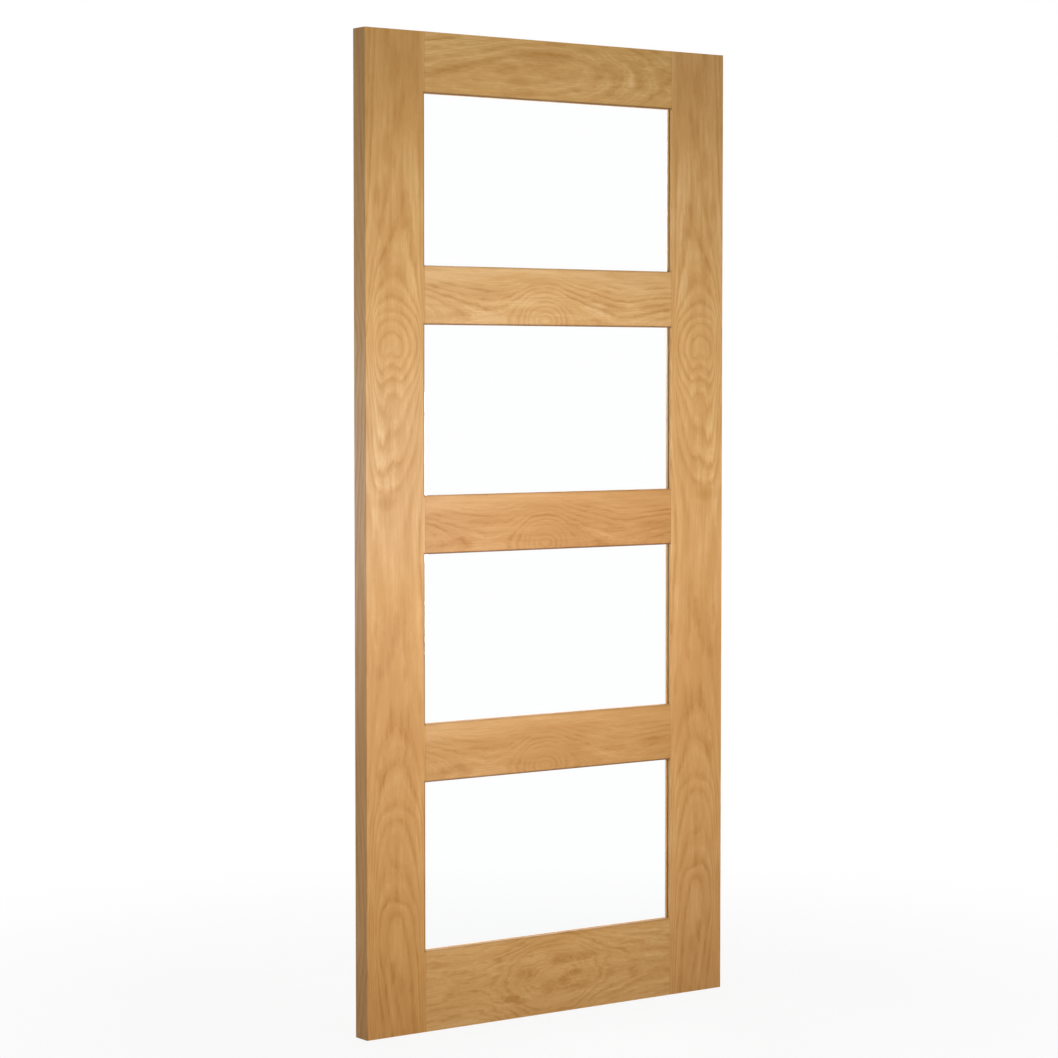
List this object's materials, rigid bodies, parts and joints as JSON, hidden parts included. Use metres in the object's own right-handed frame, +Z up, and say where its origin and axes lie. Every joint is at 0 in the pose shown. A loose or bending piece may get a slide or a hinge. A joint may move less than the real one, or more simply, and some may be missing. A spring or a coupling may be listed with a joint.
{
  "type": "glazed interior door",
  "caption": "Oak interior door leaf with one column of clear glass lights between plain square-edged rails and stiles, glazed from the back with mitred beads.",
  "frame": {"origin": "on the hinge edge, half-way through the leaf's thickness, at its foot", "axes": "+X from the hinge edge to the latch edge, +Y from the front face to the back face, +Z up"},
  "size_m": [0.926, 0.044, 2.04],
  "materials": {
    "oak_face": "satin lacquer",
    "oak_lipping": "satin lacquer",
    "oak_bead": "satin lacquer",
    "clear_glass": "polished",
    "glazing_tape": "matt foam"
  },
  "bodies": {
    "root": {"hinge_stile": "oak_face", "latch_stile": "oak_face", "top_rail": "oak_face", "mid_rail_1": "oak_face", "mid_rail_2": "oak_face", "mid_rail_3": "oak_face", "bottom_rail": "oak_face", "hinge_lipping": "oak_lipping", "latch_lipping": "oak_lipping", "glass_1": "clear_glass", "front_tape_1": "glazing_tape", "back_tape_1": "glazing_tape", "bead_1_top": "oak_bead", "bead_1_bottom": "oak_bead", "bead_1_hinge_side": "oak_bead", "bead_1_latch_side": "oak_bead", "glass_2": "clear_glass", "front_tape_2": "glazing_tape", "back_tape_2": "glazing_tape", "bead_2_top": "oak_bead", "bead_2_bottom": "oak_bead", "bead_2_hinge_side": "oak_bead", "bead_2_latch_side": "oak_bead", "glass_3": "clear_glass", "front_tape_3": "glazing_tape", "back_tape_3": "glazing_tape", "bead_3_top": "oak_bead", "bead_3_bottom": "oak_bead", "bead_3_hinge_side": "oak_bead", "bead_3_latch_side": "oak_bead", "glass_4": "clear_glass", "front_tape_4": "glazing_tape", "back_tape_4": "glazing_tape", "bead_4_top": "oak_bead", "bead_4_bottom": "oak_bead", "bead_4_hinge_side": "oak_bead", "bead_4_latch_side": "oak_bead"}
  },
  "joints": []
}
